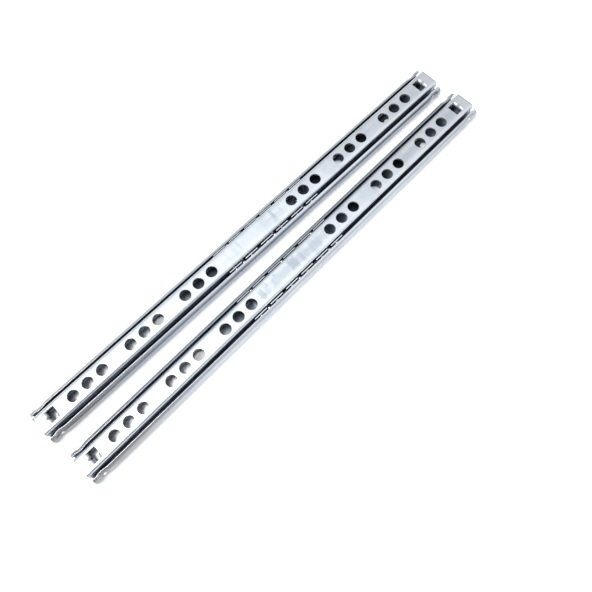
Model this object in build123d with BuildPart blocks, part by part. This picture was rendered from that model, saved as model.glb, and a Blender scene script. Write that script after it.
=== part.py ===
from build123d import *
import math
import os

# A pair of small two-member ball slides, closed, lying side by side on a bench.
# Each slide has an outer rail (a C channel, web down), an inner rail (a C channel
# turned web up inside it), a sheet-metal ball cage between the two, and steel balls.
# The origin is the centre of the pair's outline on the bench; the first slide runs along X.

os.makedirs("parts", exist_ok=True)

# Driving dimensions, in millimetres and degrees.
rail_length = 248.0
rail_width = 17.0
slide_height = 8.0
outer_sheet = 1.0
inner_sheet = 1.0
inner_groove_setback = 0.95
mouth_gap = 1.55
ball_diameter = 3.0
ball_centre_height = 3.7
race_gap = 0.1
outer_corner_radius = 1.8
inner_bend_radius = 1.2
inner_toe_height = 1.8
lip_edge_radius = 0.25

# Screw holes in the inner web: groups of three on the centre line, counted from each end.
hole_diameter = 5.5
hole_spacing = 8.0
hole_group_pitch = 32.0
holes_in_group = 3
groups_each_end = 3
end_group_setback = 26.5

# Screw holes, access holes and plain end holes in the outer web, measured from each end.
screw_hole_setback = 30.0
screw_hole_diameter = 3.2
screw_head_diameter = 4.2
screw_head_angle = 90.0
access_hole_setback = 66.5
access_hole_diameter = 6.5
end_hole_setback = 9.5
end_hole_diameter = 3.8

# Stop tab lanced down out of the inner web near each end.
stop_window_setback = 9.8
stop_window_length = 3.9
stop_window_width = 6.0
stop_window_corner = 0.4
stop_tab_gap = 0.1
stop_tab_reach = 5.5
stop_bend_radius = 1.3
gusset_reach = 2.0
gusset_width = 1.6
gusset_angle = 90.0

# Crimp that narrows the outer rail near each end and stops the cage.
crimp_setback = 8.0
crimp_length = 5.9
crimp_inner_ramp = 2.7
crimp_outer_ramp = 1.5
crimp_depth = 0.45
punch_mark_setback = 5.3
punch_mark_height = 4.3
punch_mark_radius = 0.8
punch_mark_depth = 0.3

# Ball cage.
cage_sheet = 0.4
cage_floor_gap = 0.15
cage_wing_gap = 0.6
cage_wing_top = 6.6
cage_bend_radius = 0.7
cage_tabs = 6
cage_tab_pitch = 9.85
cage_notch_width = 2.4
cage_notch_floor = 4.9
cage_end_notch_length = 5.6
cage_tongue_gap = 0.3
cage_tongue_top = 5.4
cage_pilot_diameter = 2.4
pocket_gap = 0.1

# Where the closed cages stand, and how the second slide lies beside the first.
cage_rest_first = 8.7
cage_rest_second = -0.7
second_slide_shift = 2.03
slide_pitch = 23.86
second_slide_turn = 0.94

# Worked-out sizes.
half_length = rail_length / 2
race_radius = ball_diameter / 2 + race_gap
race_back_radius = race_radius + outer_sheet
ball_offset = rail_width / 2 - race_back_radius
inner_side = ball_offset - inner_groove_setback
lip_side = inner_side + mouth_gap
cage_half_width = inner_side + cage_wing_gap + cage_sheet
cage_length = cage_tabs * cage_tab_pitch - cage_notch_width
cage_half_length = cage_length / 2
ball_pitch = cage_tab_pitch / 2
stop_window_start = half_length - stop_window_setback
stop_tab_face = stop_window_start + stop_window_length
stop_tab_root = stop_tab_face + stop_bend_radius
stop_tab_width = stop_window_width - 2 * stop_tab_gap
crimp_start = half_length - crimp_setback
punch_mark_place = half_length - punch_mark_setback
screw_hole_place = half_length - screw_hole_setback
access_hole_place = half_length - access_hole_setback
end_hole_place = half_length - end_hole_setback

# Ball places along the cage, in half tab pitches: one under every tab, and one in the
# middle notch and in the two notches next to the end tabs.
tab_balls = [2 * i - cage_tabs + 1 for i in range(cage_tabs)]
notch_balls = [2 * i - cage_tabs + 2 for i in range(0, cage_tabs - 1, 2)]
ball_places = [n * ball_pitch for n in sorted(tab_balls + notch_balls)]


def mirrored_twice(half_places):
    """The same places on both sides of the middle, from left to right."""
    return [-x for x in reversed(half_places)] + list(half_places)


first_group_place = half_length - end_group_setback - (groups_each_end - 1) * hole_group_pitch
hole_places = mirrored_twice(
    [
        first_group_place + group * hole_group_pitch + (k - (holes_in_group - 1) / 2) * hole_spacing
        for group in range(groups_each_end)
        for k in range(holes_in_group)
    ]
)


def arc_height(radius, aside):
    """Height of a circle of this radius above its centre, at a distance aside."""
    return math.sqrt(radius**2 - aside**2)


def outer_outline(squeeze):
    """Right half of the outer rail's section, its flange moved in by squeeze."""
    side = rail_width / 2 - squeeze
    centre = (ball_offset - squeeze, ball_centre_height)
    lip = lip_side - squeeze
    aside = lip - centre[0]
    lip_top = ball_centre_height + arc_height(race_back_radius, aside)
    lip_bottom = ball_centre_height + arc_height(race_radius, aside)
    outer_turn = math.degrees(math.acos(aside / race_back_radius))
    inner_turn = math.degrees(math.acos(aside / race_radius))
    corner = (side - outer_corner_radius, outer_corner_radius)
    Polyline((0, outer_sheet), (0, 0), (corner[0], 0))
    CenterArc(corner, outer_corner_radius, -90, 90)
    Line((side, corner[1]), (side, ball_centre_height))
    CenterArc(centre, race_back_radius, 0, outer_turn)
    Line((lip, lip_top), (lip, lip_bottom))
    CenterArc(centre, race_radius, 0, inner_turn)
    Line((side - outer_sheet, ball_centre_height), (side - outer_sheet, corner[1]))
    CenterArc(corner, outer_corner_radius - outer_sheet, -90, 90)
    Line((corner[0], outer_sheet), (0, outer_sheet))


def outer_section(place, squeeze):
    """Whole section of the outer rail across X at this place."""
    with BuildSketch(Plane.YZ.offset(place)) as section:
        with BuildLine():
            outer_outline(squeeze)
        make_face()
        mirror(about=Plane.YZ)
        fillet(section.vertices().group_by(Axis.Y)[-1], lip_edge_radius)
    return section.sketch.face()


# Outer rail: roll-formed sheet, web down, with a crimp near each end.
crimp_end = crimp_start + crimp_length
stations = [
    (crimp_start, 0),
    (crimp_start + crimp_inner_ramp, crimp_depth),
    (crimp_end - crimp_outer_ramp, crimp_depth),
    (crimp_end, 0),
    (half_length, 0),
]
punch_mark_aside = rail_width / 2 - crimp_depth - punch_mark_depth + punch_mark_radius

with BuildPart() as outer_rail:
    extrude(outer_section(0, 0), amount=crimp_start, both=True)
    for end in (-1, 1):
        for (near, near_squeeze), (far, far_squeeze) in zip(stations, stations[1:]):
            loft(
                [outer_section(end * near, near_squeeze), outer_section(end * far, far_squeeze)],
                ruled=True,
            )
        for side in (-1, 1):
            with Locations((end * punch_mark_place, side * punch_mark_aside, punch_mark_height)):
                Sphere(punch_mark_radius, mode=Mode.SUBTRACT)
    with Locations(Plane.XY.offset(outer_sheet)):
        with Locations((-screw_hole_place, 0), (screw_hole_place, 0)):
            CounterSinkHole(
                screw_hole_diameter / 2,
                screw_head_diameter / 2,
                counter_sink_angle=screw_head_angle,
            )
        with Locations((-access_hole_place, 0), (access_hole_place, 0)):
            Hole(access_hole_diameter / 2)
        with Locations((-end_hole_place, 0), (end_hole_place, 0)):
            Hole(end_hole_diameter / 2)


def inner_outline():
    """Right half of the inner rail's section, its ball groove facing outwards."""
    side = inner_side
    inside = side - inner_sheet
    back_radius = race_radius + inner_sheet
    groove = arc_height(race_radius, ball_offset - side)
    back = arc_height(back_radius, ball_offset - inside)
    groove_turn = math.degrees(math.asin(groove / race_radius))
    back_turn = math.degrees(math.asin(back / back_radius))
    centre = (ball_offset, ball_centre_height)
    bend = (side - inner_bend_radius, slide_height - inner_bend_radius)
    Polyline((0, slide_height - inner_sheet), (0, slide_height), (bend[0], slide_height))
    CenterArc(bend, inner_bend_radius, 0, 90)
    Line((side, bend[1]), (side, ball_centre_height + groove))
    CenterArc(centre, race_radius, 180 - groove_turn, 2 * groove_turn)
    Polyline(
        (side, ball_centre_height - groove),
        (side, inner_toe_height),
        (inside, inner_toe_height),
        (inside, ball_centre_height - back),
    )
    CenterArc(centre, back_radius, 180 - back_turn, 2 * back_turn)
    Line((inside, ball_centre_height + back), (inside, bend[1]))
    CenterArc(bend, inner_bend_radius - inner_sheet, 0, 90)
    Line((bend[0], slide_height - inner_sheet), (0, slide_height - inner_sheet))


def stop_tab_outline():
    """Section of the stop tab lengthways: a rounded bend down out of the web, then a flat tab."""
    root = (stop_tab_root, slide_height - stop_bend_radius)
    back = stop_tab_face + inner_sheet
    foot = slide_height - stop_tab_reach
    CenterArc(root, stop_bend_radius, 90, 90)
    Polyline((stop_tab_face, root[1]), (stop_tab_face, foot), (back, foot), (back, root[1]))
    CenterArc(root, stop_bend_radius - inner_sheet, 90, 90)
    Line((root[0], slide_height - inner_sheet), (root[0], slide_height))


# Inner rail: roll-formed sheet, web up, with screw holes and a lanced stop tab near each end.
with BuildPart() as inner_rail:
    with BuildSketch(Plane.YZ):
        with BuildLine():
            inner_outline()
        make_face()
        mirror(about=Plane.YZ)
    extrude(amount=half_length, both=True)
    with Locations(Plane.XY.offset(slide_height)):
        with Locations(*[(x, 0) for x in hole_places]):
            Hole(hole_diameter / 2, depth=2 * inner_sheet)
    for end in (-1, 1):
        outwards = Plane(origin=(0, 0, slide_height), x_dir=(end, 0, 0), z_dir=(0, 0, 1))
        with BuildSketch(outwards) as stop_window:
            with Locations(((stop_window_start + stop_tab_root) / 2, 0)):
                Rectangle(stop_tab_root - stop_window_start, stop_window_width)
            fillet(stop_window.vertices().group_by(Axis.X)[0], stop_window_corner)
        extrude(amount=-inner_sheet, mode=Mode.SUBTRACT)
        lengthways = Plane(origin=(0, 0, 0), x_dir=(end, 0, 0), z_dir=(0, -end, 0))
        with BuildSketch(lengthways):
            with BuildLine():
                stop_tab_outline()
            make_face()
        extrude(amount=stop_tab_width / 2, both=True)
        with BuildSketch(lengthways):
            with BuildLine():
                corner = (stop_tab_face + inner_sheet, slide_height - inner_sheet)
                Polyline(
                    corner,
                    (corner[0] + gusset_reach, corner[1]),
                    (corner[0], corner[1] - gusset_reach),
                    close=True,
                )
            make_face()
        extrude(amount=gusset_width / 2, both=True)
        down_the_bend = Plane(
            origin=(end * (stop_tab_face + gusset_reach), 0, slide_height),
            x_dir=(0, -end, 0),
            z_dir=(-end, 0, -1),
        )
        with BuildSketch(down_the_bend):
            with BuildLine():
                groove_side = gusset_reach * math.tan(math.radians(gusset_angle / 2))
                Polyline((0, 0), (groove_side, gusset_reach), (-groove_side, gusset_reach), close=True)
            make_face()
        extrude(amount=2 * gusset_reach, both=True, mode=Mode.SUBTRACT)

# Ball cage: thin sheet bent to a channel, its wings notched into tabs and pierced for the balls,
# with a tongue turned up at each end of its floor, which the inner rail's stop tab meets.
with BuildPart() as ball_cage:
    floor_low = outer_sheet + cage_floor_gap
    floor_high = floor_low + cage_sheet
    with BuildSketch(Plane.YZ):
        with BuildLine():
            bend_y = cage_half_width - cage_bend_radius
            bend_z = floor_low + cage_bend_radius
            Polyline((0, floor_high), (0, floor_low), (bend_y, floor_low))
            CenterArc((bend_y, bend_z), cage_bend_radius, -90, 90)
            Polyline(
                (cage_half_width, bend_z),
                (cage_half_width, cage_wing_top),
                (cage_half_width - cage_sheet, cage_wing_top),
                (cage_half_width - cage_sheet, bend_z),
            )
            CenterArc((bend_y, bend_z), cage_bend_radius - cage_sheet, -90, 90)
            Line((bend_y, floor_high), (0, floor_high))
        make_face()
        mirror(about=Plane.YZ)
    extrude(amount=cage_half_length, both=True)
    notch_height = cage_wing_top - cage_notch_floor
    with BuildSketch(Plane.XZ):
        with Locations((0, cage_wing_top - notch_height / 2)):
            with GridLocations(cage_tab_pitch, 0, cage_tabs - 1, 1):
                Rectangle(cage_notch_width, notch_height)
        with Locations(*[(x, ball_centre_height) for x in ball_places]):
            Circle(ball_diameter / 2 + pocket_gap)
    extrude(amount=cage_half_width, both=True, mode=Mode.SUBTRACT)
    tongue_place = cage_half_length - cage_end_notch_length
    with BuildSketch(Plane.XY.offset(floor_low)):
        for end in (-1, 1):
            with Locations((end * (tongue_place + cage_end_notch_length / 2), 0)):
                Rectangle(cage_end_notch_length, stop_tab_width + 2 * cage_tongue_gap)
        with Locations((-2 * cage_tab_pitch, 0), (2 * cage_tab_pitch, 0)):
            Circle(cage_pilot_diameter / 2)
    extrude(amount=cage_sheet, mode=Mode.SUBTRACT)
    with BuildSketch(Plane.XY.offset(floor_low)):
        for end in (-1, 1):
            with Locations((end * (tongue_place - cage_sheet / 2), 0)):
                Rectangle(cage_sheet, stop_tab_width)
    extrude(amount=cage_tongue_top - floor_low)


def slide_places():
    """Where each slide lies, so that the pair's outline is centred on the origin."""
    turn = math.radians(second_slide_turn)
    reach_x = half_length * math.cos(turn) + rail_width / 2 * math.sin(turn)
    reach_y = half_length * math.sin(turn) + rail_width / 2 * math.cos(turn)
    low_x = min(-half_length, second_slide_shift - reach_x)
    high_x = max(half_length, second_slide_shift + reach_x)
    low_y = min(-rail_width / 2, -slide_pitch - reach_y)
    high_y = max(rail_width / 2, -slide_pitch + reach_y)
    first_x = -(low_x + high_x) / 2
    first_y = -(low_y + high_y) / 2
    first = Location((first_x, first_y, 0))
    second = Location((first_x + second_slide_shift, first_y - slide_pitch, 0), (0, 0, second_slide_turn))
    return {"first": (first, cage_rest_first), "second": (second, cage_rest_second)}


def place_piece(solid, where, along, label):
    """Put a finished piece in its slide, moved along the slide, and write it."""
    with BuildPart() as placed:
        with Locations(where * Location((along, 0, 0))):
            add(solid)
    placed.part.label = label
    export_step(placed.part, "parts/" + label + ".step")


with BuildPart() as ball:
    Sphere(ball_diameter / 2)

for slide, (where, cage_rest) in slide_places().items():
    place_piece(outer_rail.part, where, 0, slide + "_outer_rail")
    place_piece(inner_rail.part, where, 0, slide + "_inner_rail")
    place_piece(ball_cage.part, where, cage_rest, slide + "_ball_cage")
    for row, side in (("near", -1), ("far", 1)):
        for number, place in enumerate(ball_places, start=1):
            seat = where * Location((0, side * ball_offset, ball_centre_height))
            place_piece(ball.part, seat, cage_rest + place, f"{slide}_{row}_ball_{number}")
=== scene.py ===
import math

import bpy
from mathutils import Matrix, Vector

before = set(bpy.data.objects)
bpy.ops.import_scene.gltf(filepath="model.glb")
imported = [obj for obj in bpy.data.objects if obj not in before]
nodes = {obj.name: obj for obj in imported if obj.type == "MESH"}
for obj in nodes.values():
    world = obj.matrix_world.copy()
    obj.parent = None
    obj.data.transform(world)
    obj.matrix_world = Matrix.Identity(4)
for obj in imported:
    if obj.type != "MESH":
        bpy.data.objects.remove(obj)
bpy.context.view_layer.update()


# Bench: the plain white laminate top that the pair lies on.
# It isn't part of the slides. It is a little lighter to the camera and to
# polished metal, so that it reads as white and still keeps the slides' shadow.
class Value:
    """A number of a finish that varies over the surface; arithmetic on it adds Math nodes."""

    def __init__(self, finish, socket):
        self.finish = finish
        self.socket = socket

    def maths(self, operation, first, second):
        return self.finish.node("ShaderNodeMath", {"operation": operation}, {0: first, 1: second})

    def __add__(self, other):
        return self.maths("ADD", self, other)

    def __radd__(self, other):
        return self.maths("ADD", other, self)

    def __sub__(self, other):
        return self.maths("SUBTRACT", self, other)

    def __rsub__(self, other):
        return self.maths("SUBTRACT", other, self)

    def __mul__(self, other):
        return self.maths("MULTIPLY", self, other)

    def __rmul__(self, other):
        return self.maths("MULTIPLY", other, self)

    def __abs__(self):
        return self.finish.node("ShaderNodeMath", {"operation": "ABSOLUTE"}, {0: self})


class Finish:
    """A surface finish: a material, or the world, built node by node."""

    def __init__(self, name, world=False):
        home = bpy.data.worlds if world else bpy.data.materials
        self.block = home.new(name)
        self.block.use_nodes = True
        self.tree = self.block.node_tree
        self.tree.nodes.clear()

    def node(self, kind, settings, sockets, output=0):
        """Adds a node. A socket takes a fixed value, or a link from one that varies."""
        made = self.tree.nodes.new(kind)
        for name, value in settings.items():
            setattr(made, name, value)
        for name, value in sockets.items():
            if isinstance(value, Value):
                self.tree.links.new(value.socket, made.inputs[name])
            else:
                made.inputs[name].default_value = value
        return Value(self, made.outputs[output])

    def colour_mix(self, share, first, second):
        """The first tone where the share is 0, the second where it is 1 or more."""
        settings = {"data_type": "RGBA", "clamp_factor": True}
        return self.node("ShaderNodeMix", settings, {0: share, 6: first, 7: second}, 2)

    def band(self, value, low, high):
        """0 below low, 1 above high, smooth in between."""
        settings = {"interpolation_type": "SMOOTHSTEP"}
        sockets = {0: value, 1: low, 2: high, 3: 0.0, 4: 1.0}
        return self.node("ShaderNodeMapRange", settings, sockets)

    def ray(self, kind):
        """1 for light that is traced for this purpose, such as Is Camera Ray."""
        return self.node("ShaderNodeLightPath", {}, {}, kind)

    def close(self, kind, shader):
        """Ends the finish with its shader."""
        end = self.tree.nodes.new(kind)
        self.tree.links.new(shader.socket, end.inputs["Surface"])


laminate_white = (0.92, 0.92, 0.92, 1)
laminate_glow = (0.27, 0.27, 0.27, 1)
laminate_roughness = 0.6
laminate = Finish("bench_laminate")
seen_by_camera = laminate.ray("Is Camera Ray")
seen_in_metal = laminate.ray("Is Glossy Ray") + laminate.ray("Is Transmission Ray")
glow = laminate.colour_mix(seen_by_camera + seen_in_metal, (0, 0, 0, 1), laminate_glow)
top = laminate.node(
    "ShaderNodeBsdfPrincipled",
    {},
    {
        "Base Color": laminate_white,
        "Roughness": laminate_roughness,
        "Emission Color": glow,
        "Emission Strength": 1.0,
    },
)
laminate.close("ShaderNodeOutputMaterial", top)

bench_reach = 3.0
bench_mesh = bpy.data.meshes.new("bench")
bench_mesh.from_pydata(
    [
        (-bench_reach, -bench_reach, 0),
        (bench_reach, -bench_reach, 0),
        (bench_reach, bench_reach, 0),
        (-bench_reach, bench_reach, 0),
    ],
    [],
    [(0, 1, 2, 3)],
)
bench_mesh.materials.append(laminate.block)
bench = bpy.data.objects.new("bench", bench_mesh)
bpy.context.scene.collection.objects.link(bench)


# Outer rails: channels roll-formed from zinc-plated strip, web down, screwed to the fixed part.
# The plating is bluish with clouds and rolling lines. Painted shade darkens the sides, the far lips
# and the right end, and the lips and sides are darker and warmer towards the left end. Grease with
# painted shade darkens the inside where the balls run; past it on the left the channel floor is
# lighter with painted light, and a painted highlight marks the punch near each end.
def slide_place(finish, centre, turn):
    """Where a point lies in its slide: X along the slide, measured from its centre."""
    place = finish.node("ShaderNodeTexCoord", {}, {}, "Object")
    settings = {"rotation_type": "Z_AXIS"}
    sockets = {"Vector": place, "Center": centre, "Angle": -turn}
    turned = finish.node("ShaderNodeVectorRotate", settings, sockets)
    return finish.node("ShaderNodeVectorMath", {"operation": "SUBTRACT"}, {0: turned, 1: centre})


def parts(finish, vector):
    """The three numbers of a place."""
    return [finish.node("ShaderNodeSeparateXYZ", {}, {0: vector}, axis) for axis in "XYZ"]


def noise(finish, place, stretch, detail=2.0):
    """Cloudy noise whose patches repeat stretch times a metre along each axis."""
    scaled = finish.node("ShaderNodeVectorMath", {"operation": "MULTIPLY"}, {0: place, 1: stretch})
    sockets = {"Vector": scaled, "Scale": 1.0, "Detail": detail, "Roughness": 0.5}
    return finish.node("ShaderNodeTexNoise", {}, sockets)


def patches(finish, place, stretch, cover):
    """Soft-edged patches: 1 inside a patch, 0 outside. Lower cover numbers give more of them."""
    return finish.band(noise(finish, place, stretch, detail=3.0), *cover)


cloud_stretch = (60, 130, 130)
cloud_cover = (0.35, 0.68)
cloud_share = 0.8
grain_stretch = (1300, 1300, 1300)
grain_share = 0.25


def plating(finish, place, bright, dull):
    """Zinc plate: bright metal with duller clouds and a fine grain."""
    clouds = patches(finish, place, cloud_stretch, cloud_cover)
    grain = noise(finish, place, grain_stretch, detail=3.0)
    return finish.colour_mix(clouds * cloud_share + grain * grain_share, bright, dull)


scratch_cover = (0.66, 0.72)


def scratches(finish, place, slant, length, width):
    """Sparse hairlines: 1 on a scratch, 0 off it. The slant is in degrees."""
    settings = {"rotation_type": "Z_AXIS"}
    sockets = {"Vector": place, "Center": (0, 0, 0), "Angle": math.radians(slant)}
    slanted = finish.node("ShaderNodeVectorRotate", settings, sockets)
    streaks = noise(finish, slanted, (1 / length, 1 / width, 1 / width), detail=1.0)
    return finish.band(streaks, *scratch_cover)


noise_middle = 0.5
line_stretch = (14, 2600, 2600)
line_gloss = 0.10
grain_gloss = 0.14
line_depth = 0.7
grain_depth = 0.5
relief_depth = 0.0000024
edge_softness = 0.00015


def close_strip(finish, place, tone, roughness, crown=0.0):
    """Closes a finish of rolled strip: rolling lines, grain, soft edges and a slight crown."""
    lines = noise(finish, place, line_stretch)
    grain = noise(finish, place, grain_stretch, detail=3.0)
    rough = roughness + (lines - noise_middle) * line_gloss + (grain - noise_middle) * grain_gloss
    soft = finish.node("ShaderNodeBevel", {"samples": 6}, {"Radius": edge_softness})
    height = (lines * line_depth + grain * grain_depth) * relief_depth - crown
    sockets = {"Strength": 1.0, "Distance": 1.0, "Height": height, "Normal": soft}
    relief = finish.node("ShaderNodeBump", {}, sockets)
    metal = finish.node(
        "ShaderNodeBsdfPrincipled",
        {},
        {"Base Color": tone, "Metallic": 1.0, "Roughness": rough, "Normal": relief},
    )
    finish.close("ShaderNodeOutputMaterial", metal)


def dress(piece, finish):
    """Gives a piece its finish."""
    piece.data.materials.clear()
    piece.data.materials.append(finish.block)


slide_centres = {
    "first": ((-0.001076, 0.012947, 0.0), 0.0),
    "second": ((0.000954, -0.010913, 0.0), math.radians(0.94)),
}

# A pair of lengths is where a soft edge starts and ends, in metres; a pair of tones is the
# bright and the dull one. A share is how far a tone covers, and haze is added roughness.
lip_rise = (0.0052, 0.0060)
lip_tones = ((0.76, 0.80, 0.84, 1), (0.66, 0.71, 0.77, 1))
# Painted shade: the sides are darker than the lips, and the first slide's sides darker than the
# second's.
shaded_side_tones = {
    "first": ((0.39, 0.43, 0.48, 1), (0.31, 0.35, 0.40, 1)),
    "second": ((0.58, 0.62, 0.66, 1), (0.50, 0.54, 0.60, 1)),
}
far_side = (0.0, 0.001)
# Painted shade dims the far lips, more on the second slide.
far_lip_shade_share = {"first": 0.50, "second": 0.75}
far_lip_shade_tone = (0.34, 0.36, 0.39, 1)
# Painted shade greys the lips and sides towards the right end.
right_shade_reach = (0.050, 0.115)
right_lip_shade_share = 0.55
right_lip_shade_tone = (0.42, 0.44, 0.47, 1)
right_side_shade_share = 0.40
right_side_shade_tone = (0.32, 0.34, 0.37, 1)
# The lips and sides are darker and warmer towards the left end.
left_end = (-0.118, -0.060)
left_lip_share = 0.8
left_lip_tone = (0.54, 0.52, 0.52, 1)
left_side_share = 0.75
left_side_tone = (0.27, 0.265, 0.26, 1)
rub_slant = 2.0
rub_length = 0.012
rub_width = 0.0003
rub_share = 0.5
rub_tone = (0.78, 0.78, 0.78, 1)

race_offset = 0.0059
race_height = 0.0037
race_core = 0.0019
race_edge = 0.0023
floor_width = (0.0077, 0.0082)
floor_bottom = (0.0004, 0.0007)
floor_top = (0.0036, 0.0039)
film_stretch = (180, 300, 300)
film_cover = (0.40, 0.62)
# Grease with painted shade: dark tones for the race and the channel floor.
race_grease_and_shade_tones = ((0.17, 0.18, 0.22, 1), (0.09, 0.10, 0.13, 1))
floor_grease_and_shade_tones = ((0.28, 0.32, 0.38, 1), (0.18, 0.21, 0.25, 1))
# Painted light: the channel floor under the left end's holes is lighter, with a mottle.
lit_floor_end = (-0.056, -0.030)
lit_floor_width = (0.0040, 0.0047)
mottle_stretch = (900, 900, 900)
lit_floor_tones = ((0.90, 0.92, 0.94, 1), (0.66, 0.68, 0.71, 1))

# Painted highlight: a near-white spot on the flanks where each end's punch mark stands.
punch_place = 0.1187
punch_height = 0.0043
punch_core = 0.0005
punch_edge = 0.0008
flank = (0.0070, 0.0075)
punch_highlight_tone = (0.96, 0.94, 0.92, 1)
outer_roughness = 0.30
race_haze = 0.10
lit_floor_haze = 0.08

for slide, (centre, turn) in slide_centres.items():
    finish = Finish(slide + "_outer_zinc")
    place = slide_place(finish, centre, turn)
    along, across, up = parts(finish, place)

    lips = plating(finish, place, *lip_tones)
    # Painted shade: the sides get darker tones than the lips.
    sides = plating(finish, place, *shaded_side_tones[slide])
    # Painted shade: the far lips are greyer.
    shaded_far_lip = finish.band(across, *far_side) * far_lip_shade_share[slide]
    lips = finish.colour_mix(shaded_far_lip, lips, far_lip_shade_tone)
    # Painted shade: lips and sides greyer towards the right end.
    shaded_right_end = finish.band(along, *right_shade_reach)
    lips = finish.colour_mix(shaded_right_end * right_lip_shade_share, lips, right_lip_shade_tone)
    sides = finish.colour_mix(shaded_right_end * right_side_shade_share, sides, right_side_shade_tone)
    # Lips and sides darker and warmer towards the left end.
    darker_left_end = 1 - finish.band(along, *left_end)
    lips = finish.colour_mix(darker_left_end * left_lip_share, lips, left_lip_tone)
    sides = finish.colour_mix(darker_left_end * left_side_share, sides, left_side_tone)
    plate = finish.colour_mix(finish.band(up, *lip_rise), sides, lips)
    rubbed = scratches(finish, place, rub_slant, rub_length, rub_width)
    plate = finish.colour_mix(rubbed * rub_share, plate, rub_tone)

    out = abs(across) - race_offset
    lift = up - race_height
    race = 1 - finish.band(out * out + lift * lift, race_core**2, race_edge**2)
    floor = (
        (1 - finish.band(abs(across), *floor_width))
        * finish.band(up, *floor_bottom)
        * (1 - finish.band(up, *floor_top))
    )
    # Grease with painted shade darkens the race and the channel floor.
    film = patches(finish, place, film_stretch, film_cover)
    race_tone = finish.colour_mix(film, *race_grease_and_shade_tones)
    floor_tone = finish.colour_mix(film, *floor_grease_and_shade_tones)
    # Painted light: the channel floor under the left holes is lighter and mottled.
    lit_floor_mottle = patches(finish, place, mottle_stretch, film_cover)
    lit_floor_tone = finish.colour_mix(lit_floor_mottle, *lit_floor_tones)
    lit_left_floor = (1 - finish.band(along, *lit_floor_end)) * (1 - finish.band(abs(across), *lit_floor_width))
    floor_tone = finish.colour_mix(lit_left_floor, floor_tone, lit_floor_tone)
    tone = finish.colour_mix(floor, plate, floor_tone)
    tone = finish.colour_mix(race, tone, race_tone)

    # Painted highlight of the punch mark near each end.
    beyond = abs(along) - punch_place
    off = up - punch_height
    punch_highlight = 1 - finish.band(beyond * beyond + off * off, punch_core**2, punch_edge**2)
    punch_highlight = punch_highlight * finish.band(abs(across), *flank)
    tone = finish.colour_mix(punch_highlight, tone, punch_highlight_tone)
    rough = outer_roughness + race * race_haze + floor * lit_left_floor * lit_floor_haze
    close_strip(finish, place, tone, rough)
    dress(nodes[slide + "_outer_rail"], finish)


# Inner rails: the same strip, web up and very slightly crowned by the rolls, with groups of round
# holes for the moving part's screws and a tab lanced down near each end as a stop. Handling has
# left smudges and scratches on the web; the holes' walls are sheared steel, grey and rougher.
# Painted shade greys the web towards the right end, and grease with painted shade darkens the
# flanks and the web's underside.
smudge_stretch = (420, 200, 200)
smudge_raggedness = 1.1
smudge_edge = (0.35, 1.0)


def smudge(finish, place, spot, reach):
    """A rubbed stroke with ragged edges: 1 in its middle, 0 past its reach."""
    away = finish.node("ShaderNodeVectorMath", {"operation": "SUBTRACT"}, {0: place, 1: (*spot, 0)})
    stretch = (1 / reach[0], 1 / reach[1], 0)
    scaled = finish.node("ShaderNodeVectorMath", {"operation": "MULTIPLY"}, {0: away, 1: stretch})
    along_it, across_it, _ = parts(finish, scaled)
    sockets = {0: abs(along_it), 1: abs(across_it)}
    far = finish.node("ShaderNodeMath", {"operation": "MAXIMUM"}, sockets)
    ragged = noise(finish, place, smudge_stretch, detail=3.0) - noise_middle
    return 1 - finish.band(far + ragged * smudge_raggedness, *smudge_edge)


# Each mark: its place along and across the web, its reach both ways, and how dull it is.
web_marks = {
    "first": [
        ((0.0140, 0.0006), (0.0010, 0.0034), 0.50),
        ((-0.0080, 0.0000), (0.0008, 0.0034), 0.26),
        ((0.0185, 0.0004), (0.0006, 0.0034), 0.26),
        ((0.0640, 0.0000), (0.0060, 0.0030), 0.20),
        ((0.0980, -0.0004), (0.0240, 0.0028), 0.16),
    ],
    "second": [
        ((-0.0190, 0.0004), (0.0023, 0.0034), 0.65),
        ((-0.0145, 0.0018), (0.0008, 0.0020), 0.52),
        ((-0.0090, 0.0027), (0.0006, 0.0006), 0.70),
        ((0.0015, 0.0005), (0.0028, 0.0036), 0.70),
        ((0.0068, 0.0000), (0.0012, 0.0032), 0.44),
        ((0.0200, 0.0000), (0.0080, 0.0030), 0.40),
        ((0.0000, -0.0001), (0.0260, 0.0031), 0.45),
        ((0.0500, 0.0000), (0.0090, 0.0030), 0.18),
        ((0.0820, -0.0002), (0.0080, 0.0026), 0.44),
        ((0.1120, -0.0003), (0.0100, 0.0027), 0.40),
    ],
}
mark_tone = (0.42, 0.47, 0.54, 1)
web_tones = ((0.79, 0.84, 0.89, 1), (0.68, 0.74, 0.81, 1))
# Painted shade greys the web towards the right end.
web_shade_reach = (0.030, 0.115)
web_shade_share = 0.6
web_shade_tone = (0.68, 0.70, 0.72, 1)
streak_stretch = (240, 70, 70)
streak_cover = (0.48, 0.72)
streak_share = 0.30
streak_tone = (0.50, 0.55, 0.62, 1)
rolling_slant = 0.0
rolling_length = 0.030
rolling_width = 0.0009
rolling_share = 0.42
rolling_tone = (0.50, 0.53, 0.58, 1)
handling_slant = 11.0
handling_length = 0.007
handling_width = 0.00025
handling_share = 0.45
handling_tone = (0.74, 0.66, 0.66, 1)
burr_reach = (0.12350, 0.12365)
burr_share = 0.8
burr_tone = (0.36, 0.31, 0.32, 1)

level_face = (0.35, 0.65)
web_flat = 0.00375
hole_reach = (web_flat, 0.0040)
hole_wall_rise = (0.0067, 0.0069)
end_cut = (0.12394, 0.12399)
sheared_tone = (0.76, 0.75, 0.74, 1)
flange_offset = (0.0043, 0.0047)
flange_top = (0.0064, 0.0071)
under_web = (web_flat, 0.0042)
web_underside = (0.0067, 0.0070)
# Grease with painted shade: dark tones for the flanks and the web's underside.
inside_grease_and_shade_tones = ((0.28, 0.31, 0.37, 1), (0.17, 0.19, 0.24, 1))

flat_reach = 0.0030
shoulder_reach = 0.0043
shoulder_rate = 40.0
wave_stretch = (110, 60, 60)
wave_depth = 0.0012
inner_roughness = 0.31
sheared_haze = 0.28
streak_haze = 0.04

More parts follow.
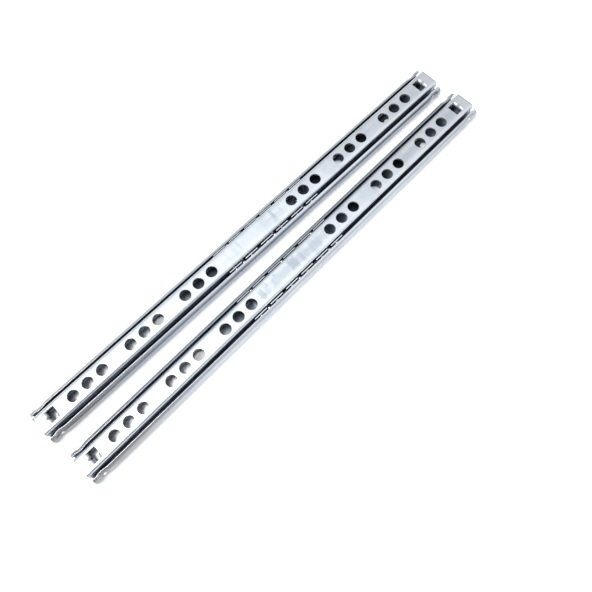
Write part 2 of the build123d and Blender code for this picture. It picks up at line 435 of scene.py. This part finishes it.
for slide, (centre, turn) in slide_centres.items():
    finish = Finish(slide + "_inner_zinc")
    place = slide_place(finish, centre, turn)
    along, across, up = parts(finish, place)
    normal = finish.node("ShaderNodeNewGeometry", {}, {}, "True Normal")
    facing_up = finish.node("ShaderNodeSeparateXYZ", {}, {0: normal}, "Z")

    tone = plating(finish, place, *web_tones)
    # Painted shade: the web greyer towards the right end.
    shaded_web_right = finish.band(along, *web_shade_reach) * web_shade_share
    tone = finish.colour_mix(shaded_web_right, tone, web_shade_tone)
    streaked = patches(finish, place, streak_stretch, streak_cover)
    tone = finish.colour_mix(streaked * streak_share, tone, streak_tone)
    for spot, reach, share in web_marks[slide]:
        tone = finish.colour_mix(smudge(finish, place, spot, reach) * share, tone, mark_tone)
    rolled = scratches(finish, place, rolling_slant, rolling_length, rolling_width)
    tone = finish.colour_mix(rolled * rolling_share, tone, rolling_tone)
    handled = scratches(finish, place, handling_slant, handling_length, handling_width)
    tone = finish.colour_mix(handled * handling_share, tone, handling_tone)
    burr = finish.band(abs(along), *burr_reach)
    tone = finish.colour_mix(burr * burr_share, tone, burr_tone)

    wall_side = 1 - finish.band(abs(facing_up), *level_face)
    in_web = (1 - finish.band(abs(across), *hole_reach)) * finish.band(up, *hole_wall_rise)
    sheared = wall_side * in_web + finish.band(abs(along), *end_cut)
    tone = finish.colour_mix(sheared, tone, sheared_tone)
    # Grease with painted shade darkens the flanks and the web's underside.
    beside = finish.band(abs(across), *flange_offset) * (1 - finish.band(up, *flange_top))
    under = (1 - finish.band(abs(across), *under_web)) * (1 - finish.band(up, *web_underside))
    film = patches(finish, place, film_stretch, film_cover)
    inside_grease_and_shade_tone = finish.colour_mix(film, *inside_grease_and_shade_tones)
    tone = finish.colour_mix(beside + under, tone, inside_grease_and_shade_tone)

    sockets = {0: abs(across), 1: shoulder_reach}
    edge = finish.node("ShaderNodeMath", {"operation": "MINIMUM"}, sockets)
    wavy = noise(finish, place, wave_stretch)
    sockets = {0: edge - flat_reach + wavy * wave_depth, 1: 0}
    past = finish.node("ShaderNodeMath", {"operation": "MAXIMUM"}, sockets)
    rough = inner_roughness + sheared * sheared_haze + streaked * streak_haze
    close_strip(finish, place, tone, rough, past * past * shoulder_rate)
    dress(nodes[slide + "_inner_rail"], finish)


# Ball cages: thin plated strip, pierced and bent, that runs between the rails and spaces the
# balls. The tips of its tabs are bright plating with a painted highlight, the far ones dimmed by
# painted shade; grease darkens the rest, and painted shade darkens the wings further.
# Plating with a painted highlight on the tab tips.
tip_plate_and_highlight_tones = ((0.88, 0.92, 0.97, 1), (0.76, 0.81, 0.87, 1))
tip_rise = (0.00648, 0.00656)
# Painted shade dims the far tab tips.
far_tip_shade_share = 0.6
far_tip_shade_tone = (0.46, 0.51, 0.57, 1)
cage_film_stretch = (200, 320, 320)
cage_film_cover = (0.38, 0.62)
# Grease with painted shade: dark tones for the wings.
wing_grease_and_shade_tones = ((0.17, 0.18, 0.21, 1), (0.09, 0.10, 0.12, 1))
cage_floor_tones = ((0.58, 0.61, 0.65, 1), (0.42, 0.45, 0.49, 1))
cage_floor_top = (0.0017, 0.0022)
cage_roughness = 0.27
for slide, (centre, turn) in slide_centres.items():
    finish = Finish(slide + "_cage_strip")
    place = slide_place(finish, centre, turn)
    _, across, up = parts(finish, place)
    # The tab tips: plating with a painted highlight.
    highlighted_tips = plating(finish, place, *tip_plate_and_highlight_tones)
    # Painted shade: the far tips are dimmer.
    highlighted_tips = finish.colour_mix(finish.band(across, *far_side) * far_tip_shade_share, highlighted_tips, far_tip_shade_tone)
    film = patches(finish, place, cage_film_stretch, cage_film_cover)
    # Grease with painted shade darkens the wings, and grease the strip's floor.
    greased_shaded_wings = finish.colour_mix(film, *wing_grease_and_shade_tones)
    strip_floor = finish.colour_mix(film, *cage_floor_tones)
    grease_and_shade = finish.colour_mix(finish.band(up, *cage_floor_top), strip_floor, greased_shaded_wings)
    tone = finish.colour_mix(finish.band(up, *tip_rise), grease_and_shade, highlighted_tips)
    close_strip(finish, place, tone, cage_roughness)
    dress(nodes[slide + "_ball_cage"], finish)


# Balls: hardened and polished steel, under a patchy film of grease.
# They are loose in their cage's notches and behind its tabs, and roll between the two races.
ball_tones = ((0.56, 0.58, 0.61, 1), (0.32, 0.33, 0.35, 1))
grease_stretch = (900, 900, 900)
grease_cover = (0.45, 0.65)
ball_roughness = 0.08
grease_haze = 0.20
polished = Finish("ball_steel")
where = polished.node("ShaderNodeTexCoord", {}, {}, "Object")
grease = noise(polished, where, grease_stretch, detail=3.0)
ball_tone = polished.colour_mix(polished.band(grease, *grease_cover), *ball_tones)
steel = polished.node(
    "ShaderNodeBsdfPrincipled",
    {},
    {
        "Base Color": ball_tone,
        "Metallic": 1.0,
        "Roughness": ball_roughness + grease * grease_haze,
    },
)
polished.close("ShaderNodeOutputMaterial", steel)
for name, ball in nodes.items():
    if "_ball_" in name and not name.endswith("cage"):
        dress(ball, polished)


# Studio: a plain white room, brighter overhead and towards the near right, with one soft box
# high up past the left end. The side where the viewer stands is darker.
room = Finish("room", world=True)
outlook = room.node("ShaderNodeTexCoord", {}, {}, "Generated")
height = room.node("ShaderNodeSeparateXYZ", {}, {0: outlook}, "Z")

wall_rise = (0.15, 0.85)
low_wall = (0.56, 0.57, 0.58, 1)
high_wall = (0.83, 0.85, 0.87, 1)
horizon = (0.04, 0.22)
white = (1.0, 1.0, 1.0, 1)
# Overhead, near right, right and viewer: direction, where it fades in, share and tone of each.
room_parts = [
    ((-0.10, 0.0, 0.995), (0.74, 0.92), 1.0, (1.27, 1.28, 1.29, 1)),
    ((0.47, -0.56, 0.68), (0.86, 0.97), 1.0, (1.15, 1.17, 1.20, 1)),
    ((0.86, 0.20, 0.47), (0.75, 0.98), 0.60, (0.62, 0.64, 0.67, 1)),
    ((-0.19, -0.68, 0.71), (0.92, 0.985), 0.85, (0.10, 0.10, 0.11, 1)),
]

tone = room.colour_mix(room.band(height, *wall_rise), low_wall, high_wall)
for way, fade, share, part_tone in room_parts:
    settings = {"operation": "DOT_PRODUCT"}
    facing = room.node("ShaderNodeVectorMath", settings, {0: outlook, 1: way}, "Value")
    tone = room.colour_mix(room.band(facing, *fade) * share, tone, part_tone)
near_horizon = 1 - room.band(height, *horizon)
mirrored = room.ray("Is Glossy Ray") + room.ray("Is Transmission Ray")
backdrop = room.ray("Is Camera Ray") + mirrored * near_horizon
tone = room.colour_mix(backdrop, tone, white)
sky = room.node("ShaderNodeBackground", {}, {"Color": tone, "Strength": 1.0})
room.close("ShaderNodeOutputWorld", sky)
bpy.context.scene.world = room.block

# The box lifts white paper where the pair lies by box_share of full white.
box_side = 0.28
box_share = 0.29
box_place = Vector((-0.296, 0.105, 0.90))
lamp = bpy.data.lights.new("soft_box", "AREA")
lamp.shape = "SQUARE"
lamp.size = box_side
lamp.energy = box_share * math.pi**2 * box_place.length**4 / box_place.z**2
soft_box = bpy.data.objects.new("soft_box", lamp)
soft_box.location = box_place
bpy.context.scene.collection.objects.link(soft_box)


# Camera: stands over the near left of the pair, looks down at 70 degrees and is turned a little.
# Its place, turn and lens come from the photo's view of the 36 hole centres.
aim = Vector((-0.007874, -0.022698, 0.008))
distance = 0.27641
azimuth = math.radians(229.169)
elevation = math.radians(70.501)
roll = math.radians(-4.254)
back = Vector(
    (
        math.cos(elevation) * math.cos(azimuth),
        math.cos(elevation) * math.sin(azimuth),
        math.sin(elevation),
    )
)
level = (-back).cross(Vector((0, 0, 1))).normalized()
upright = level.cross(-back)
image_right = math.cos(roll) * level + math.sin(roll) * upright
image_up = math.cos(roll) * upright - math.sin(roll) * level
lens = bpy.data.cameras.new("camera")
lens.lens = 37.64
lens.sensor_width = 36.0
lens.clip_start = 0.01
camera = bpy.data.objects.new("camera", lens)
turned = Matrix((image_right, image_up, back)).transposed().to_4x4()
camera.matrix_world = Matrix.Translation(aim + distance * back) @ turned
bpy.context.scene.collection.objects.link(camera)
bpy.context.scene.camera = camera
bpy.context.scene.view_settings.view_transform = "Standard"
